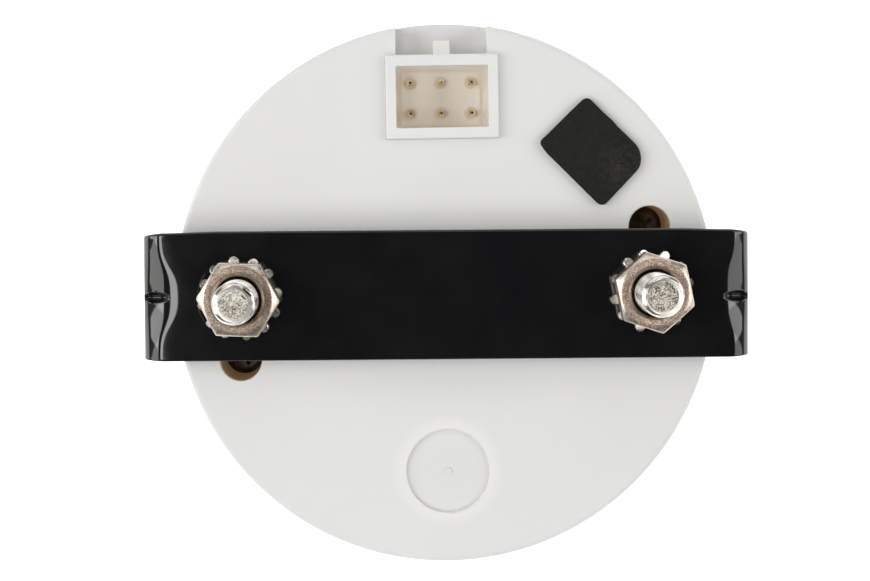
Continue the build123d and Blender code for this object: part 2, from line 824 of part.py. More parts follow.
def make_nut(x, first_corner):
    """M4 hexagon nut, chamfered on both faces; its bore has a running fit on the stud."""
    with BuildPart() as nut:
        with BuildSketch(Plane.XY.offset(nut_bottom_z)):
            with Locations((x, 0)):
                RegularPolygon(nut_flats / 2, 6, major_radius=False, rotation=first_corner)
        extrude(amount=nut_height)
        with BuildSketch(Plane.XZ):
            with BuildLine():
                face_radius = nut_flats / 2 - 0.2
                beyond = face_radius + 1.0
                Polyline((x, nut_bottom_z),
                         (x + face_radius, nut_bottom_z),
                         (x + beyond, nut_bottom_z + corner_slope),
                         (x + beyond, nut_bottom_z + nut_height - corner_slope),
                         (x + face_radius, nut_bottom_z + nut_height),
                         (x, nut_bottom_z + nut_height),
                         close=True)
            make_face()
        revolve(axis=Axis((x, 0, 0), (0, 0, 1)), mode=Mode.INTERSECT)
        with BuildSketch(Plane.XY.offset(nut_bottom_z)):
            with Locations((x, 0)):
                Circle(nut_bore)
        extrude(amount=nut_height, mode=Mode.SUBTRACT)
        mouths = nut.edges().filter_by(GeomType.CIRCLE).filter_by(
            lambda e: abs(e.radius - nut_bore) < 0.01)
        chamfer(mouths, length=countersink_radius - nut_bore)
    return nut.part


save(make_nut(-stud_x, -3), "nut_left")
save(make_nut(stud_x, 41), "nut_right")
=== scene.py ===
import bpy
import bmesh
import json
from math import cos, pi, radians, sin, sqrt, tan
from mathutils import Matrix, Vector, noise


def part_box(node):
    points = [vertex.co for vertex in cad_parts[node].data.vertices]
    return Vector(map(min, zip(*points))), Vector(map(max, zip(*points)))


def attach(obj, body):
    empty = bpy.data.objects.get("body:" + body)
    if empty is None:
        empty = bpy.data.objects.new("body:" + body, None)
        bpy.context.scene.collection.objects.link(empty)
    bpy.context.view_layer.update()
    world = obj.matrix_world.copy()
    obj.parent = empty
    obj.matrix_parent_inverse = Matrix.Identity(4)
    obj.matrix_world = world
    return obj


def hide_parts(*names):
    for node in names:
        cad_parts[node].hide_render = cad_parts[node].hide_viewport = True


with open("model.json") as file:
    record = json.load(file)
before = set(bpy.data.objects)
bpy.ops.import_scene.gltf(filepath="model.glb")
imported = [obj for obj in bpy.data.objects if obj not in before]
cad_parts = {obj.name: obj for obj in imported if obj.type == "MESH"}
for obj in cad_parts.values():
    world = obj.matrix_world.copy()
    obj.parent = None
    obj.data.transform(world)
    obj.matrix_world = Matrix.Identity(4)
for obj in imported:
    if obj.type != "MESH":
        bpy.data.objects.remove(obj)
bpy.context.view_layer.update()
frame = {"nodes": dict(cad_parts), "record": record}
MM = 0.001


# ---------------------------------------------------------------- places, from the frame
def span(node):
    """A CAD node's middle and size, in metres."""
    low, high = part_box(node)
    return (low + high) / 2, high - low


web_top_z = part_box("clamp_bracket")[1].z
web_bottom_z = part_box("rear_case")[1].z                     # it rests on the case's bosses
back_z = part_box("rubber_patch")[0].z
header_top_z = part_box("header_body")[1].z
stud_x = span("stud_right")[0].x
stud_tip_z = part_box("stud_right")[1].z
nut_top_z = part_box("nut_right")[1].z
window_y = span("lcd_front_glass")[0].y
screw_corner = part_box("case_screws")[1]
SCREW_HEAD = 1.85 * MM            # radius of a case screw's head
screw_x, screw_y = screw_corner.x - SCREW_HEAD, screw_corner.y - SCREW_HEAD
GATE_Y = -17.2 * MM               # moulding gate's recess, on the case's centre line


# ---------------------------------------------------------------- node materials
class Nodes:
    """A material's node tree, with short calls for the nodes used here."""

    def __init__(self, name):
        self.material = bpy.data.materials.new(name)
        self.material.use_nodes = True
        self.tree = self.material.node_tree
        self.shader = next(n for n in self.tree.nodes if n.type == "BSDF_PRINCIPLED")
        self.place = self.tree.nodes.new("ShaderNodeTexCoord").outputs["Object"]

    def put(self, socket, value):
        if isinstance(value, bpy.types.NodeSocket):
            self.tree.links.new(value, socket)
        else:
            socket.default_value = value

    def noise(self, scale, detail=4, rough=0.5):
        """Grain; scale is in cycles per metre."""
        node = self.tree.nodes.new("ShaderNodeTexNoise")
        node.inputs["Scale"].default_value = scale
        node.inputs["Detail"].default_value = detail
        node.inputs["Roughness"].default_value = rough
        self.tree.links.new(self.place, node.inputs["Vector"])
        return node.outputs["Fac"]

    def ramp(self, value, *stops):
        """Colours or greys along a value: (position, colour) stops."""
        node = self.tree.nodes.new("ShaderNodeValToRGB")
        self.put(node.inputs["Fac"], value)
        elements = node.color_ramp.elements
        while len(elements) < len(stops):
            elements.new(0.5)
        for element, (position, colour) in zip(elements, stops):
            element.position = position
            if not hasattr(colour, "__len__"):
                colour = (colour, colour, colour)
            element.color = (*colour, 1)
        return node.outputs["Color"]

    def math(self, kind, a, b=0.0, clamp=False):
        node = self.tree.nodes.new("ShaderNodeMath")
        node.operation = kind
        node.use_clamp = clamp
        self.put(node.inputs[0], a)
        self.put(node.inputs[1], b)
        return node.outputs[0]

    def plus(self, a, b):
        return self.math("ADD", a, b)

    def minus(self, a, b):
        return self.math("SUBTRACT", a, b)

    def times(self, a, b):
        return self.math("MULTIPLY", a, b)

    def length(self, a, b):
        """Length of a step that goes a along one axis and b along another."""
        return self.math("SQRT", self.plus(self.times(a, a), self.times(b, b)))

    def mix(self, share, a, b):
        """Colour a where share is 0, colour b where it is 1."""
        node = self.tree.nodes.new("ShaderNodeMix")
        node.data_type = "RGBA"
        self.put(node.inputs[0], share)
        for socket, colour in ((node.inputs[6], a), (node.inputs[7], b)):
            self.put(socket, colour if isinstance(colour, bpy.types.NodeSocket) else (*colour, 1))
        return node.outputs[2]

    def bump(self, height, depth):
        """Surface relief; depth is in metres."""
        node = self.tree.nodes.new("ShaderNodeBump")
        node.inputs["Strength"].default_value = 1.0
        node.inputs["Distance"].default_value = depth
        self.tree.links.new(height, node.inputs["Height"])
        self.tree.links.new(node.outputs["Normal"], self.shader.inputs["Normal"])

    def axis(self, name):
        """One coordinate of the object's own space, in metres."""
        if not hasattr(self, "split"):
            self.split = self.tree.nodes.new("ShaderNodeSeparateXYZ")
            self.tree.links.new(self.place, self.split.inputs[0])
        return self.split.outputs[name]

    def above(self, name, level, soft):
        """0 below a level on one axis, 1 above it, blended over a width."""
        start = self.minus(self.axis(name), level - soft / 2)
        return self.math("MULTIPLY", start, 1 / soft, clamp=True)

    def far_from(self, x, y):
        """Distance in plan from a point."""
        return self.length(self.minus(self.axis("X"), x), self.minus(self.axis("Y"), y))

    def within(self, distance, limit, soft):
        """1 where a distance is under a limit, 0 beyond it."""
        left = self.minus(limit + soft / 2, distance)
        return self.math("MULTIPLY", left, 1 / soft, clamp=True)

    def band(self, distance, inner, outer, soft):
        """1 where a distance is between two limits."""
        return self.times(self.within(distance, outer, soft),
                          self.minus(1.0, self.within(distance, inner, soft)))

    def mottle(self, dark, light):
        """The blotchy tint of a plated surface."""
        return self.ramp(self.noise(900, 6, 0.65), (0.32, dark), (0.62, light))

    def finish(self, colour, rough, metal=0.0, **more):
        self.put(self.shader.inputs["Base Color"],
                 colour if isinstance(colour, bpy.types.NodeSocket) else (*colour, 1))
        self.put(self.shader.inputs["Roughness"], rough)
        self.put(self.shader.inputs["Metallic"], metal)
        for name, value in more.items():
            self.put(self.shader.inputs[name.replace("_", " ")], value)
        return self.material


FINE_GRAIN = 0.004 * MM           # depths of the surface relief
PITS = 0.006 * MM
TURNED_GRAIN = 0.012 * MM
RUBBER_GRAIN = 0.010 * MM
ORANGE_PEEL = 0.0015 * MM
PRINT_GRAIN = 0.003 * MM


def moulded(name, light, dark):
    """Moulded plastic: faint flow clouds, a fine eroded grain and a few rubbed patches."""
    n = Nodes(name)
    rough = 0.42
    clouds = n.noise(55, 5, 0.55)
    fine = n.noise(2600, 3, 0.6)
    colour = n.ramp(clouds, (0.3, dark), (0.7, light))
    gloss = n.ramp(n.noise(240, 4), (0.3, rough - 0.06), (0.75, rough + 0.08))
    n.bump(n.plus(fine, n.times(clouds, 0.6)), FINE_GRAIN)
    return n.finish(colour, gloss)


def plated(name, light, dark, rough):
    """Plated steel: a mottled tint, fine pits and rubbed bright spots."""
    n = Nodes(name)
    gloss = n.ramp(n.noise(1500, 5), (0.3, rough - 0.08), (0.7, rough + 0.14))
    n.bump(n.noise(2200, 4, 0.7), PITS)
    return n.finish(n.mottle(dark, light), gloss, 1.0)


def plain_grain(name, light, dark, rough, **more):
    """Any other finish: two tones of the colour and a fine relief."""
    n = Nodes(name)
    tone = n.noise(900, 5, 0.6)
    colour = n.ramp(tone, (0.3, dark), (0.7, light))
    gloss = n.ramp(n.noise(1800, 3), (0.3, max(rough - 0.05, 0.02)), (0.7, rough + 0.06))
    n.bump(n.noise(2700, 3), FINE_GRAIN)
    return n.finish(colour, gloss, **more)


CASE_DARK, CASE_LIGHT = (0.64, 0.64, 0.635), (0.66, 0.66, 0.655)
BORE_WALL = 2.3 * MM              # reach of the painted amber glow on the walls of the screw bores
# radii of the gate recess's floor and rim, and how far the painted highlight round it reaches
GATE_FLOOR, GATE_RIM, GATE_HALO = 3.9 * MM, 3.95 * MM, 5.0 * MM


def white_case():
    """White moulding with a painted glow all over, for light through the translucent plastic;
    light soaks through the screw bores' walls and turns amber, painted as an amber colour that
    glows more.
    """
    n = Nodes("white_moulding")
    clouds = n.noise(55, 5, 0.55)
    fine = n.noise(2600, 3, 0.6)
    white = n.ramp(clouds, (0.3, CASE_DARK), (0.7, CASE_LIGHT))
    right = n.within(n.far_from(screw_x, screw_y), BORE_WALL, 0.1 * MM)
    left = n.within(n.far_from(-screw_x, -screw_y), BORE_WALL, 0.1 * MM)
    sunk = n.minus(1.0, n.above("Z", back_z - 0.45 * MM, 0.5 * MM))
    bore = n.times(n.plus(right, left), sunk)
    gate = n.far_from(0.0, GATE_Y)
    # painted shade: the gate recess's floor is painted darker
    floor = n.times(n.within(gate, GATE_FLOOR, 0.3 * MM), 0.5)
    # painted highlight: a ring round the gate recess is painted lighter and glows more
    halo = n.minus(n.within(gate, GATE_HALO, 0.9 * MM), n.within(gate, GATE_RIM, 0.2 * MM))
    white = n.mix(floor, white, (0.62, 0.62, 0.617))
    white = n.mix(n.times(halo, 0.3), white, (0.75, 0.745, 0.73))
    amber = n.ramp(n.noise(700, 4), (0.3, (0.34, 0.21, 0.10)), (0.7, (0.46, 0.32, 0.17)))
    colour = n.mix(bore, white, amber)
    # painted glow: the whole moulding glows a little, for light through the plastic, and more in
    # the bores and round the gate recess
    glow = n.mix(bore, n.mix(halo, (0.24, 0.24, 0.23), (0.32, 0.315, 0.295)), amber)
    gloss = n.ramp(n.noise(240, 4), (0.3, 0.4), (0.75, 0.52))
    n.bump(n.plus(fine, n.times(clouds, 0.6)), FINE_GRAIN)
    return n.finish(colour, gloss, Emission_Color=glow, Emission_Strength=0.17)


def header_nylon():
    """The header's nylon: as white as the case on top, cream down in the socket, where the nylon's
    beige is painted lighter than the rim to offset the socket's shade.
    """
    n = Nodes("header_nylon")
    clouds = n.noise(260, 4)
    white = n.ramp(clouds, (0.3, CASE_DARK), (0.7, CASE_LIGHT))
    cream = n.ramp(clouds, (0.3, (0.79, 0.745, 0.68)), (0.7, (0.83, 0.79, 0.735)))
    top = n.above("Z", header_top_z - 3.2 * MM, 5.0 * MM)
    n.bump(n.noise(2600, 3), FINE_GRAIN)
    # painted glow for light through the nylon, warmer and stronger down in the socket
    glow = n.mix(top, (0.60, 0.53, 0.45), (0.42, 0.42, 0.41))
    return n.finish(n.mix(top, cream, white), n.ramp(clouds, (0.3, 0.38), (0.7, 0.5)),
                    Emission_Color=glow, Emission_Strength=0.16)


def stud_steel():
    """Bright threads and a sawn end, rough and speckled; two saw strokes nick the left stud."""
    n = Nodes("nickel_stud")
    plate = n.mottle((0.58, 0.55, 0.50), (0.76, 0.73, 0.68))
    cloud = n.ramp(n.noise(700, 2), (0.4, 0.0), (0.6, 0.35))
    worn = n.times(n.above("X", 0.0, MM), 0.06)
    grit = n.minus(n.noise(6200, 3, 0.8), n.plus(n.times(cloud, 0.25), worn))
    speckle = n.ramp(grit, (0.33, (0.07, 0.055, 0.04)), (0.42, (0.46, 0.42, 0.36)),
                     (0.56, (0.80, 0.77, 0.72)))
    end = n.above("Z", stud_tip_z - 0.085 * MM, 0.02 * MM)
    dx = n.plus(n.axis("X"), stud_x)
    slant = n.times(n.plus(dx, n.axis("Y")), sqrt(0.5))
    along = n.times(n.minus(n.axis("Y"), dx), sqrt(0.5))

    def stroke(offset, half, middle, reach):
        """One saw stroke, in mm: how far out, half its width, its middle and half its length."""
        near = n.math("ABSOLUTE", n.minus(slant, offset * MM))
        run = n.math("ABSOLUTE", n.minus(along, middle * MM))
        return n.times(n.within(near, half * MM, 0.05 * MM),
                       n.within(run, reach * MM, 0.2 * MM))

    nick = n.math("MAXIMUM", stroke(1.13, 0.07, -0.24, 0.3), stroke(1.66, 0.09, -0.15, 0.55))
    nick = n.times(nick, n.above("Z", stud_tip_z - 1.1 * MM, 0.1 * MM))
    colour = n.mix(nick, n.mix(end, plate, speckle), (0.05, 0.04, 0.03))
    grain = n.times(n.plus(n.times(end, 2.0), 0.3), n.noise(5200, 4, 0.8))
    n.bump(grain, TURNED_GRAIN)
    rough = n.plus(0.2, n.times(end, 0.4))
    metal = n.minus(1.0, n.times(end, 0.8))
    return n.finish(colour, rough, metal)


GAP_SHADE_REACH = 2.28 * MM            # reach of the painted shade in the gap between a nut's thread and its stud


def nut_steel():
    """Yellowed nickel; the turned top face is left with a fine bright grain."""
    n = Nodes("nickel_nut")

    def tinted(dark, light):
        return n.ramp(n.noise(1100, 5, 0.7), (0.3, dark), (0.65, light))

    sides = tinted((0.56, 0.46, 0.38), (0.82, 0.73, 0.63))
    left = tinted((0.46, 0.36, 0.29), (0.66, 0.54, 0.45))
    right = tinted((0.66, 0.50, 0.42), (0.92, 0.74, 0.62))
    grain = n.noise(6800, 3, 0.85)
    top = n.above("Z", nut_top_z - 0.03 * MM, 0.02 * MM)
    dots = n.times(n.ramp(grain, (0.44, 0.75), (0.56, 0.0)), top)
    tint = n.mix(top, sides, n.mix(n.above("X", 0.0, MM), left, right))
    colour = n.mix(dots, tint, (0.12, 0.08, 0.055))
    # painted shade: the countersink darkened next to the stud, for the shadow in the gap round the
    # thread
    off = n.length(n.minus(n.math("ABSOLUTE", n.axis("X")), stud_x), n.axis("Y"))
    colour = n.mix(n.within(off, GAP_SHADE_REACH, 0.16 * MM), colour, (0.03, 0.02, 0.012))
    gloss = n.plus(n.ramp(n.noise(2400, 5), (0.3, 0.22), (0.7, 0.4)), n.times(top, 0.12))
    n.bump(n.times(grain, n.plus(n.times(top, 2.0), 0.4)), TURNED_GRAIN)
    return n.finish(colour, gloss, 1.0)


def patch_rubber():
    """Matt black rubber with a fine grain, scuffed pale near the corner next to the screw."""
    n = Nodes("patch_rubber")
    grain = n.noise(2600, 4, 0.75)
    low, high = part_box("rubber_patch")
    corner = n.far_from(high.x - 1.9 * MM, low.y + 3.5 * MM)
    scuff = n.times(n.within(corner, 1.4 * MM, 2.6 * MM),
                    n.ramp(grain, (0.42, 0.0), (0.64, 1.0)))
    rubber = n.ramp(grain, (0.32, (0.005, 0.005, 0.0047)), (0.68, (0.013, 0.0125, 0.012)))
    n.bump(n.plus(grain, n.noise(420, 3)), RUBBER_GRAIN)
    return n.finish(n.mix(scuff, rubber, (0.030, 0.029, 0.027)),
                    n.ramp(grain, (0.3, 0.55), (0.7, 0.68)), Specular_IOR_Level=0.22)


def washer_steel():
    """Nickel plate; the teeth that face away from the header are painted a dark olive, a painted
    shade.
    """
    n = Nodes("nickel_washer")
    plate = n.mottle((0.66, 0.62, 0.56), (0.84, 0.82, 0.78))
    # painted shade: teeth below this level in Y are painted dark olive
    unshaded = n.above("Y", -3.35 * MM, 0.7 * MM)
    colour = n.mix(unshaded, (0.055, 0.052, 0.034), plate)
    n.bump(n.noise(2200, 4, 0.7), PITS)
    return n.finish(colour, n.ramp(n.noise(1500, 5), (0.3, 0.17), (0.7, 0.39)), 1.0)


def black_paint():
    """Gloss black coat, with the ring that an earlier clamping left by the left nut, drawn grey as
    a painted highlight on its ridge, and only on the side where light catches it.
    """
    n = Nodes("black_paint")
    clouds = n.noise(240, 4)
    black = n.ramp(clouds, (0.3, (0.006, 0.006, 0.007)), (0.7, (0.0085, 0.0085, 0.0095)))
    ring = n.band(n.far_from(-stud_x, 0.0), 3.98 * MM, 4.12 * MM, 0.06 * MM)
    # painted highlight: the ring is drawn only on the nut's left, where light catches its ridge
    left = n.minus(1.0, n.above("X", -stud_x - 2.0 * MM, 1.2 * MM))
    left = n.times(left, n.above("Y", -2.0 * MM, 1.0 * MM))
    broken = n.ramp(n.noise(1500, 3), (0.35, 0.1), (0.6, 0.8))
    ring_mark_and_highlight = n.times(n.times(ring, left), broken)
    colour = n.mix(ring_mark_and_highlight, black, (0.055, 0.055, 0.055))
    n.bump(n.noise(900, 3), ORANGE_PEEL)
    return n.finish(colour, n.ramp(n.noise(500, 4), (0.3, 0.05), (0.7, 0.08)), IOR=1.62)


def printed_mask():
    """Dark print behind the lens, with a white rim and scale of ticks round the upper part."""
    n = Nodes("mask_print")
    dark = n.ramp(n.noise(900, 5), (0.3, (0.012, 0.013, 0.015)), (0.7, (0.02, 0.021, 0.024)))
    radius = n.far_from(0.0, 0.0)
    edge = 0.04 * MM
    scale_out = 21.8 * MM
    angle = n.math("ARCTAN2", n.axis("Y"), n.axis("X"))

    def ticks(count, half, inner):
        """Equal ticks from a radius out; half is half a tick's width, as a share of the pitch."""
        turn = n.math("FRACT", n.plus(n.times(angle, count / (2 * pi)), 0.5))
        off = n.math("ABSOLUTE", n.minus(turn, 0.5))
        line = n.within(off, half, half * 0.3)
        return n.times(line, n.band(radius, inner, scale_out, edge))

    fine = ticks(60, 0.07, 20.6 * MM)
    bold = ticks(12, 0.028, 19.8 * MM)
    rim = n.band(radius, 22.1 * MM, 22.3 * MM, edge)
    marks = n.math("MAXIMUM", n.math("MAXIMUM", fine, bold), rim)
    marks = n.times(marks, n.above("Y", -9.0 * MM, 0.05 * MM))
    n.bump(n.noise(2700, 3), PRINT_GRAIN)
    return n.finish(n.mix(marks, dark, (0.62, 0.63, 0.62)),
                    n.ramp(n.noise(1800, 3), (0.3, 0.4), (0.7, 0.5)))


looks = {
    "white_moulding": white_case(),
    "bezel_moulding": moulded("bezel_moulding", (0.028, 0.028, 0.030), (0.02, 0.02, 0.022)),
    "header_nylon": header_nylon(),
    "gold_plate": plated("gold_plate", (0.98, 0.92, 0.74), (0.80, 0.66, 0.42), 0.12),
    "black_paint": black_paint(),
    "nickel_nut": nut_steel(),
    "nickel_stud": stud_steel(),
    "nickel_washer": washer_steel(),
    "dark_screw": plated("dark_screw", (0.12, 0.09, 0.07), (0.05, 0.04, 0.03), 0.4),
    "patch_rubber": patch_rubber(),
    "gasket_rubber": plain_grain("gasket_rubber", (0.02, 0.02, 0.02), (0.012, 0.012, 0.012), 0.7),
    "mask_print": printed_mask(),
    "adhesive": plain_grain("adhesive", (0.6, 0.58, 0.52), (0.5, 0.48, 0.43), 0.6),
    "display_glass": plain_grain("display_glass", (0.50, 0.56, 0.46), (0.46, 0.52, 0.43), 0.15),
    "diffuser": plain_grain("diffuser", (0.85, 0.85, 0.82), (0.8, 0.8, 0.77), 0.5),
    "guide_acrylic": plain_grain("guide_acrylic", (0.8, 0.84, 0.84), (0.74, 0.8, 0.8), 0.12),
    "led_body": plain_grain("led_body", (0.85, 0.78, 0.4), (0.8, 0.7, 0.34), 0.3),
    "strip_rubber": plain_grain("strip_rubber", (0.7, 0.35, 0.45), (0.6, 0.28, 0.38), 0.6),
    "board_laminate": plain_grain("board_laminate", (0.01, 0.13, 0.05), (0.008, 0.09, 0.035), 0.3),
    "board_metal": plated("board_metal", (0.75, 0.62, 0.38), (0.6, 0.48, 0.3), 0.3),
    "chip_black": plain_grain("chip_black", (0.02, 0.02, 0.021), (0.013, 0.013, 0.014), 0.5),
    "can_metal": plated("can_metal", (0.75, 0.76, 0.77), (0.66, 0.67, 0.68), 0.3),
    "key_plastic": moulded("key_plastic", (0.33, 0.34, 0.35), (0.28, 0.29, 0.30)),
    "switch_plastic": plain_grain("switch_plastic", (0.03, 0.03, 0.03), (0.02, 0.02, 0.02), 0.45),
    "lens_clear": plain_grain("lens_clear", (0.97, 0.98, 0.98), (0.94, 0.96, 0.96), 0.06,
                              Transmission_Weight=1.0, IOR=1.49),
}
slot_of = {row["node"]: row["material_slot"] for row in frame["record"]["subparts"]}


def paint(piece, slot):
    piece.data.materials.clear()
    piece.data.materials.append(looks[slot])


for name, node in frame["nodes"].items():
    paint(node, slot_of[name])


def soften(node, width):
    """Round a CAD node's sharp edges, with a modifier that leaves its own mesh alone."""
    merge = node.modifiers.new("merge_flats", "DECIMATE")
    merge.decimate_type = "DISSOLVE"
    merge.angle_limit = radians(0.6)
    bevel = node.modifiers.new("round_edges", "BEVEL")
    bevel.width = width
    bevel.segments = 3
    bevel.limit_method = "ANGLE"
    bevel.angle_limit = radians(30)
    bevel.harden_normals = True
    bevel.miter_outer = "MITER_ARC"


soften(frame["nodes"]["rear_case"], 0.22 * MM)
soften(frame["nodes"]["header_body"], 0.12 * MM)


# ---------------------------------------------------------------- mesh helpers
def mark_sharp(build, angle):
    """Smooth shading everywhere but over edges that turn by more than that angle."""
    for face in build.faces:
        face.smooth = True
    for edge in build.edges:
        turns = len(edge.link_faces) == 2 and edge.calc_face_angle() > radians(angle)
        edge.smooth = not turns


def add_piece(name, points, faces, slot, body, replaced=(), sharp=40):
    """A mesh object from points in metres, riding on a CAD body."""
    mesh = bpy.data.meshes.new(name)
    mesh.from_pydata([tuple(p) for p in points], [], faces)
    build = bmesh.new()
    build.from_mesh(mesh)
    bmesh.ops.remove_doubles(build, verts=build.verts, dist=0.000002)
    bmesh.ops.recalc_face_normals(build, faces=build.faces)
    mark_sharp(build, sharp)
    build.to_mesh(mesh)
    build.free()
    piece = bpy.data.objects.new(name, mesh)
    bpy.context.scene.collection.objects.link(piece)
    paint(piece, slot)
    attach(piece, body)
    if replaced:
        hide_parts(*replaced)
    return piece


def skin(rows, start=0, round_ends=False):
    """Faces between closed rows of points; the ends are capped, or joined if round_ends."""
    points = [p for row in rows for p in row]
    count = len(rows[0])
    faces = []
    last = len(rows) if round_ends else len(rows) - 1
    for i in range(last):
        j = (i + 1) % len(rows)
        for k in range(count):
            m = (k + 1) % count
            faces.append((start + i * count + k, start + i * count + m,
                          start + j * count + m, start + j * count + k))
    if not round_ends:
        faces.append(tuple(start + k for k in range(count))[::-1])
        faces.append(tuple(start + (len(rows) - 1) * count + k for k in range(count)))
    return points, faces


def ease(value, low, high):
    """0 below low, 1 above high, smooth between."""
    t = min(max((value - low) / (high - low), 0.0), 1.0)
    return t * t * (3 - 2 * t)


def body_of(node):
    bodies = frame["record"]["behaviour"]["bodies"]
    return next(name for name, nodes in bodies.items() if node in nodes)


# ---------------------------------------------------------------- clamp bracket
strip_low, strip_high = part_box("clamp_bracket")
strip_half = (strip_high.y - strip_low.y) / 2
end_of = {-1: strip_high.x - 0.26 * MM, 1: strip_high.x - 0.06 * MM}   # a little off centre
dart_y = {-1: -0.1 * MM, 1: -0.35 * MM}
STRIP_THICK = web_top_z - web_bottom_z
STRIP_TURN = radians(-0.55)       # clamped a little askew, within the slack of its holes
STRIP_SHARP = 50                  # degrees
UPPER_ROUND = 0.26 * MM           # the sheared edges: rolled over on the header's side,
LOWER_ROUND = 0.12 * MM           # crisp on the other
TIP_ROUND = 2.0 * MM              # corners of the legs' tips
TIP_EDGE = 0.2 * MM               # chamfer round each tip
BEND_DROP = 1.7 * MM
BEND_REACH, BEND_SWELL = 1.85, 1.6   # mm along the strip, and more in the middle of its width
SWELL_HALF = 3.0 * MM             # half the width of that middle
DART_DEEP, DART_HALF = 0.85 * MM, 0.54 * MM
DART_AT, DART_REACH = 0.54, 0.35  # its middle and half its length, as shares of the bend
DART_INSIDE = 0.6                 # how much of its depth shows on the inner face
GROOVE_ROUND, GROOVE_ROOT = 0.05, 0.2236   # rounding of the dart's bottom, and its square root
STUD_HOLE = 2.3 * MM              # radius
WEB_STEPS, BEND_STEPS, LEG_STEPS, CORNER_STEPS = 24, 26, 12, 5


def across_shares():
    """Shares of the half width, from -1 to 1; finer where the darts are."""
    darts = [y / strip_half for y in dart_y.values()]
    shares = []
    position = -1.0
    while position < 1.0 - 1e-6:
        shares.append(position)
        near = min(abs(position - d) for d in darts)
        position += 0.011 if near < 0.11 else 0.05
    shares.append(1.0)
    return shares


def bend_reach(y):
    """How far in from its end the strip starts to bend; further in the middle of its width."""
    return (BEND_REACH + BEND_SWELL * pow(2.718, -0.9 * pow(abs(y) / SWELL_HALF, 3))) * MM


def dart(side, share, y):
    """Depth of the dart; share runs from the web to the leg."""
    length = max(0.0, 1 - pow((share - DART_AT) / DART_REACH, 2))
    off = abs(y - dart_y[side]) / (DART_HALF * max(sqrt(length), 0.05))
    rise = (sqrt(off * off + GROOVE_ROUND) - GROOVE_ROOT) / (sqrt(1 + GROOVE_ROUND) - GROOVE_ROOT)
    return max(0.0, 1 - rise) * length * DART_DEEP


def outer(side, part, share, y):
    """Point and outward normal on the outer face; share runs along that part of the strip."""
    reach = bend_reach(y)
    end_x = end_of[side]
    if part == "web":
        return Vector((side * share * (end_x - reach), y, web_top_z)), Vector((0, 0, 1))
    if part == "bend":
        turn = share * pi / 2
        normal = Vector((side * sin(turn) * BEND_DROP, 0, cos(turn) * reach)).normalized()
        point = Vector((side * (end_x - reach + reach * sin(turn)), y,
                        web_top_z - BEND_DROP + BEND_DROP * cos(turn)))
        return point - Vector((side, 0, 1)).normalized() * dart(side, share, y), normal
    start = web_top_z - BEND_DROP
    return Vector((side * end_x, y, start + (strip_low.z - start) * share)), Vector((side, 0, 0))


def inner(side, part, share, y):
    """Point on the inner face."""
    if part == "bend":
        turn = share * pi / 2
        tight = BEND_DROP - STRIP_THICK
        reach = bend_reach(y) - STRIP_THICK
        point = Vector((side * (end_of[side] - STRIP_THICK - reach + reach * sin(turn)), y,
                        web_bottom_z - tight + tight * cos(turn)))
        return point - Vector((side, 0, 1)).normalized() * dart(side, share, y) * DART_INSIDE
    point, normal = outer(side, part, share, y)
    return point - normal * STRIP_THICK


def flat_ends(part, share):
    """Where the flat of the outer face ends in Y: the legs narrow, and their tips are rounded."""
    upper = {"web": 0.12 * MM * ease(share, 0.8, 1.0), "bend": (0.12 + 0.26 * share) * MM,
             "leg": (0.38 + 0.44 * share) * MM}[part]
    lower = {"web": 0, "bend": 0.16 * MM * share, "leg": (0.16 + 0.66 * share) * MM}[part]
    tuck = 0
    if part == "leg":
        left = (1 - share) * (web_top_z - BEND_DROP - strip_low.z)
        if left < TIP_ROUND:
            tuck = TIP_ROUND - sqrt(max(TIP_ROUND ** 2 - (TIP_ROUND - left) ** 2, 0))
    return -strip_half + lower + tuck + LOWER_ROUND, strip_half - upper - tuck - UPPER_ROUND


def strip_row(side, part, share, shares):
    """One closed section of the strip: outer face, upper edge, inner face, lower edge."""
    start, end = flat_ends(part, share)
    flat = [start + (end - start) * (share_y + 1) / 2 for share_y in shares]
    corner = [i * pi / 2 / CORNER_STEPS for i in range(1, CORNER_STEPS + 1)]
    row = [outer(side, part, share, y)[0] for y in flat]
    for edge_y, way, radius in ((flat[-1], 1, UPPER_ROUND), (flat[0], -1, LOWER_ROUND)):
        point = outer(side, part, share, edge_y)[0]
        below = inner(side, part, share, edge_y)
        depth = (point - below).length
        drop = (point - below).normalized()
        arc = [(radius * sin(a), radius * (1 - cos(a))) for a in corner]
        arc += [(radius * cos(a), depth - radius * (1 - sin(a))) for a in [0] + corner]
        edge = [point + Vector((0, way * w, 0)) - drop * d for w, d in arc]
        if way > 0:
            row += edge
            row += [inner(side, part, share, y) for y in flat[::-1][1:-1]]
        else:
            row += edge[::-1]
    return row


def leg_tip(row):
    """Lifts a leg's last row a little and returns the smaller row that closes its tip."""
    centre = sum(row, Vector()) / len(row)
    cap = []
    for p in row:
        toward = centre - p
        toward.z = 0
        cap.append(p + toward * min(TIP_EDGE / max(toward.length, 1e-9), 1))
    for p in row:
        p.z += TIP_EDGE
    return cap


def cut_stud_hole(strip, side):
    """Replaces the strip's mesh by the same mesh with a round hole for that side's stud."""
    bpy.ops.mesh.primitive_cylinder_add(vertices=96, radius=STUD_HOLE, depth=4 * MM,
                                        location=(side * stud_x, 0, web_top_z))
    tool = bpy.context.object
    cut = strip.modifiers.new("hole", "BOOLEAN")
    cut.operation = "DIFFERENCE"
    cut.solver = "EXACT"
    cut.object = tool
    depsgraph = bpy.context.evaluated_depsgraph_get()
    cut_mesh = bpy.data.meshes.new_from_object(strip.evaluated_get(depsgraph))
    strip.modifiers.clear()
    strip.data = cut_mesh
    bpy.data.objects.remove(tool)


